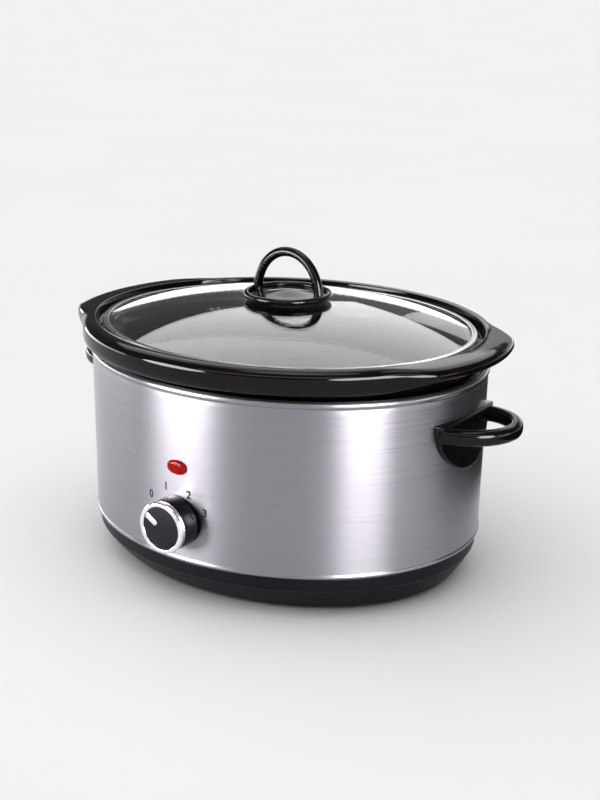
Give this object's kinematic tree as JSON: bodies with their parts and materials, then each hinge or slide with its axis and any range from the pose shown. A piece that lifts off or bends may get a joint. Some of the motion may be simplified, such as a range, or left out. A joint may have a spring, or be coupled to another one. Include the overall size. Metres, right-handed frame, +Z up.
{
  "type": "oval slow cooker",
  "caption": "Oval electric slow cooker: steel housing on a moulded base, lift-out glazed crock with ears, domed glass lid with arch handle, rotary heat selector.",
  "frame": {"origin": "middle of the whole cooker's outline, on the plane that its feet stand on", "axes": "+X along the long axis towards the right-hand side handle, -Y towards the front with the control knob, +Z up"},
  "size_m": [0.4112, 0.3156, 0.25],
  "materials": {
    "brushed_steel": "satin, fine level grain",
    "chrome": "bright plated",
    "gloss_black_plastic": "high gloss moulding",
    "satin_black_plastic": "fine satin moulding",
    "charcoal_plastic": "satin disc",
    "black_glaze": "thick glossy glaze",
    "clear_glass": "clear tempered",
    "red_lens": "translucent red moulding",
    "rubber": "matt moulded",
    "silicone": "matt translucent",
    "galvanised_sheet": "spangled sheet",
    "heater_foil": "foil over mica",
    "glass_fibre": "loose woven mat",
    "lead_sleeve": "braided sleeve",
    "zinc_fastener": "zinc plated"
  },
  "bodies": {
    "housing": {"outer_housing": "brushed_steel", "base_tray": "satin_black_plastic", "foot_1": "rubber", "foot_2": "rubber", "foot_3": "rubber", "foot_4": "rubber", "heating_well": "galvanised_sheet", "heater_band": "heater_foil", "band_clamp": "zinc_fastener", "insulation_wrap": "glass_fibre", "heat_shield": "galvanised_sheet", "tie_bolt": "zinc_fastener", "tie_washer": "zinc_fastener", "tie_nut": "zinc_fastener", "thermal_fuse": "clear_glass", "fuse_clip": "zinc_fastener", "terminal_block": "satin_black_plastic", "lead_live": "lead_sleeve", "lead_switched": "lead_sleeve", "lead_fuse": "lead_sleeve", "lead_neutral": "lead_sleeve", "cord_gland": "satin_black_plastic", "rotary_switch": "satin_black_plastic", "switch_nut": "zinc_fastener", "indicator_lens": "red_lens", "lens_clip": "zinc_fastener", "neon_lamp": "clear_glass", "side_handle_left": "gloss_black_plastic", "side_handle_right": "gloss_black_plastic", "handle_screw_left_front": "zinc_fastener", "handle_washer_left_front": "zinc_fastener", "handle_screw_left_rear": "zinc_fastener", "handle_washer_left_rear": "zinc_fastener", "handle_screw_right_front": "zinc_fastener", "handle_washer_right_front": "zinc_fastener", "handle_screw_right_rear": "zinc_fastener", "handle_washer_right_rear": "zinc_fastener"},
    "knob": {"control_knob": "gloss_black_plastic", "knob_ring": "chrome", "knob_face": "charcoal_plastic", "knob_pointer": "chrome", "switch_shaft": "zinc_fastener"},
    "crock": {"crock": "black_glaze"},
    "lid": {"lid_glass": "clear_glass", "lid_rim": "brushed_steel", "lid_handle": "gloss_black_plastic", "lid_gasket": "silicone", "lid_washer": "silicone", "lid_screw": "zinc_fastener"}
  },
  "joints": [
    {"name": "knob_turn", "type": "hinge", "parent": "housing", "child": "knob", "pos_m": [0, -0.13675, 0.0662], "axis": [0, 1, 0], "range_deg": [0, 126]},
    {"name": "crock_lift", "type": "slide", "parent": "housing", "child": "crock", "axis": [0, 0, 1], "range_m": [0, 0.16]},
    {"name": "lid_lift", "type": "slide", "parent": "crock", "child": "lid", "axis": [0, 0, 1], "range_m": [0, 0.1]}
  ]
}
